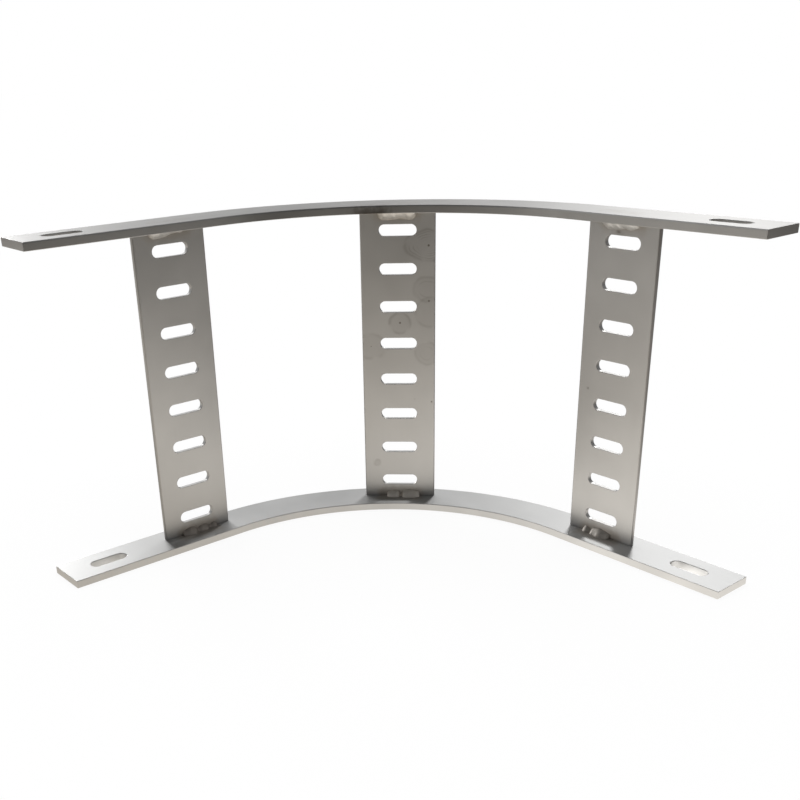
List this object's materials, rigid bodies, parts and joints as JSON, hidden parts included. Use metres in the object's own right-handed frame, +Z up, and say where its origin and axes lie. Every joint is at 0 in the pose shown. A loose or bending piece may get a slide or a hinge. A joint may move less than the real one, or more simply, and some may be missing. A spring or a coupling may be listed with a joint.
{
  "type": "cable tray vertical bend",
  "caption": "Ladder-type cable tray bend: flat-bar side rails curved through a quarter turn, joined by slotted flat rungs welded between them, with bolt slots at the leg ends.",
  "frame": {"origin": "on the floor, under the middle of the bounding box; the bend stands on its lower rail", "axes": "+Z up, across the tray's clear width; X across the bend from leg to leg, its longest extent; +Y from the hollow side to the outer side of the curve, its shortest extent"},
  "size_m": [0.4314, 0.1623, 0.21],
  "materials": {
    "stainless_rail": "satin",
    "stainless_rung": "satin",
    "weld_bead": "satin"
  },
  "bodies": {
    "root": {"lower_rail": "stainless_rail", "upper_rail": "stainless_rail", "left_rung": "stainless_rung", "middle_rung": "stainless_rung", "right_rung": "stainless_rung", "left_lower_weld": "weld_bead", "middle_lower_weld": "weld_bead", "right_lower_weld": "weld_bead", "left_upper_weld": "weld_bead", "middle_upper_weld": "weld_bead", "right_upper_weld": "weld_bead"}
  },
  "joints": []
}
